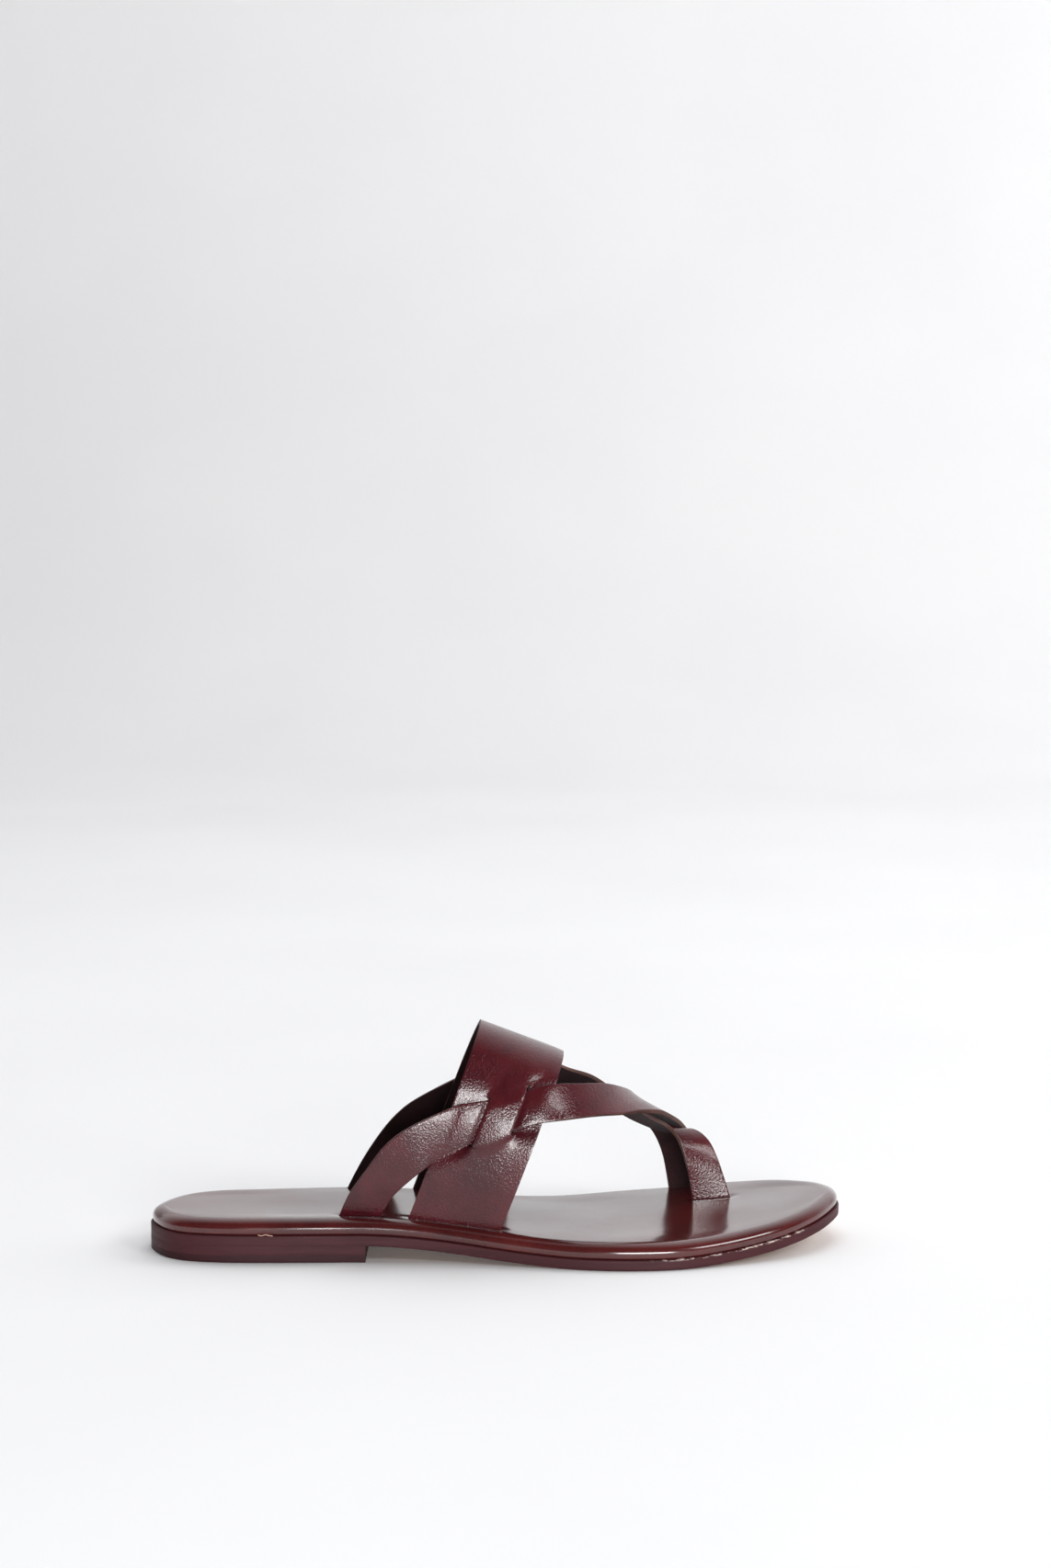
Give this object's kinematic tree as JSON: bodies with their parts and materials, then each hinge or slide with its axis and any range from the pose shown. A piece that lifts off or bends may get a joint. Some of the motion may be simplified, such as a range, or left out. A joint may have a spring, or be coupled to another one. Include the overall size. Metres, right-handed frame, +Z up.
{
  "type": "toe-loop slide sandal",
  "caption": "Flat leather slide sandal for the right foot: a wide instep band with woven narrow straps that cross into a loop for the big toe, on a low heel.",
  "frame": {"origin": "centre of the bounding box on the ground", "axes": "+X towards the toe, +Y towards the inner side of the foot, +Z up"},
  "size_m": [0.2611, 0.0948, 0.0852],
  "materials": {
    "strap_leather": "polished burgundy leather, dark flesh side",
    "footbed_leather": "polished burgundy leather with soft streaks",
    "painted_edge": "leather with a matt painted edge",
    "heel_rubber": "matt rubber",
    "fibre_board": "pressed fibre board",
    "foam": "thin latex foam",
    "steel": "plain steel"
  },
  "bodies": {
    "root": {"heel_top_piece": "heel_rubber", "heel_lift": "painted_edge", "outsole": "painted_edge", "footbed_cover": "footbed_leather", "insole_board": "fibre_board", "footbed_foam": "foam", "bottom_filler": "fibre_board", "shank": "steel", "shank_rivet_rear": "steel", "shank_rivet_front": "steel", "heel_nail_1": "steel", "heel_nail_2": "steel", "heel_nail_3": "steel", "heel_nail_4": "steel", "heel_nail_5": "steel", "instep_band": "strap_leather", "lateral_strap": "strap_leather", "medial_strap": "strap_leather"}
  },
  "joints": []
}
